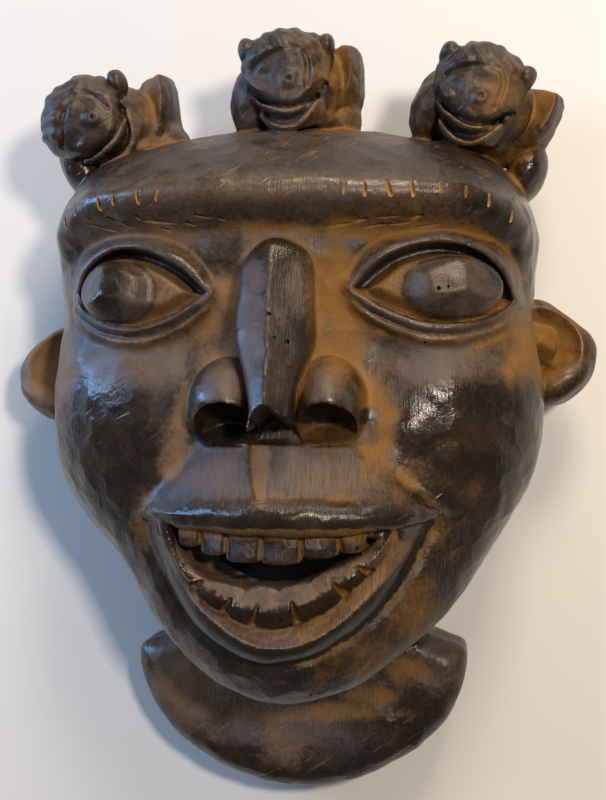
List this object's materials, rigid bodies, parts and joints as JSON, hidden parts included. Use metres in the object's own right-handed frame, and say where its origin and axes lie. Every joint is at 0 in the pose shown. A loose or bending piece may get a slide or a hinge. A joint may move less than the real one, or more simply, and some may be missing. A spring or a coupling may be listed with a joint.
{
  "type": "carved wooden face mask",
  "caption": "Carved wooden face mask with a hollow back, open toothed mouth, cupped ears, crouching animals on the crown and a collar under the chin.",
  "frame": {"origin": "middle of the bounding box on the plane of the back rim that the mask lies on", "axes": "+Z out of the face, +Y towards the crown, +X to the viewer's right when the face is seen upright"},
  "size_m": [0.339, 0.4358, 0.1828],
  "materials": {
    "carved_wood": "dark satin patina polished on the high places, with ochre dust in the recesses"
  },
  "bodies": {
    "root": {"mask": "carved_wood"}
  },
  "joints": []
}
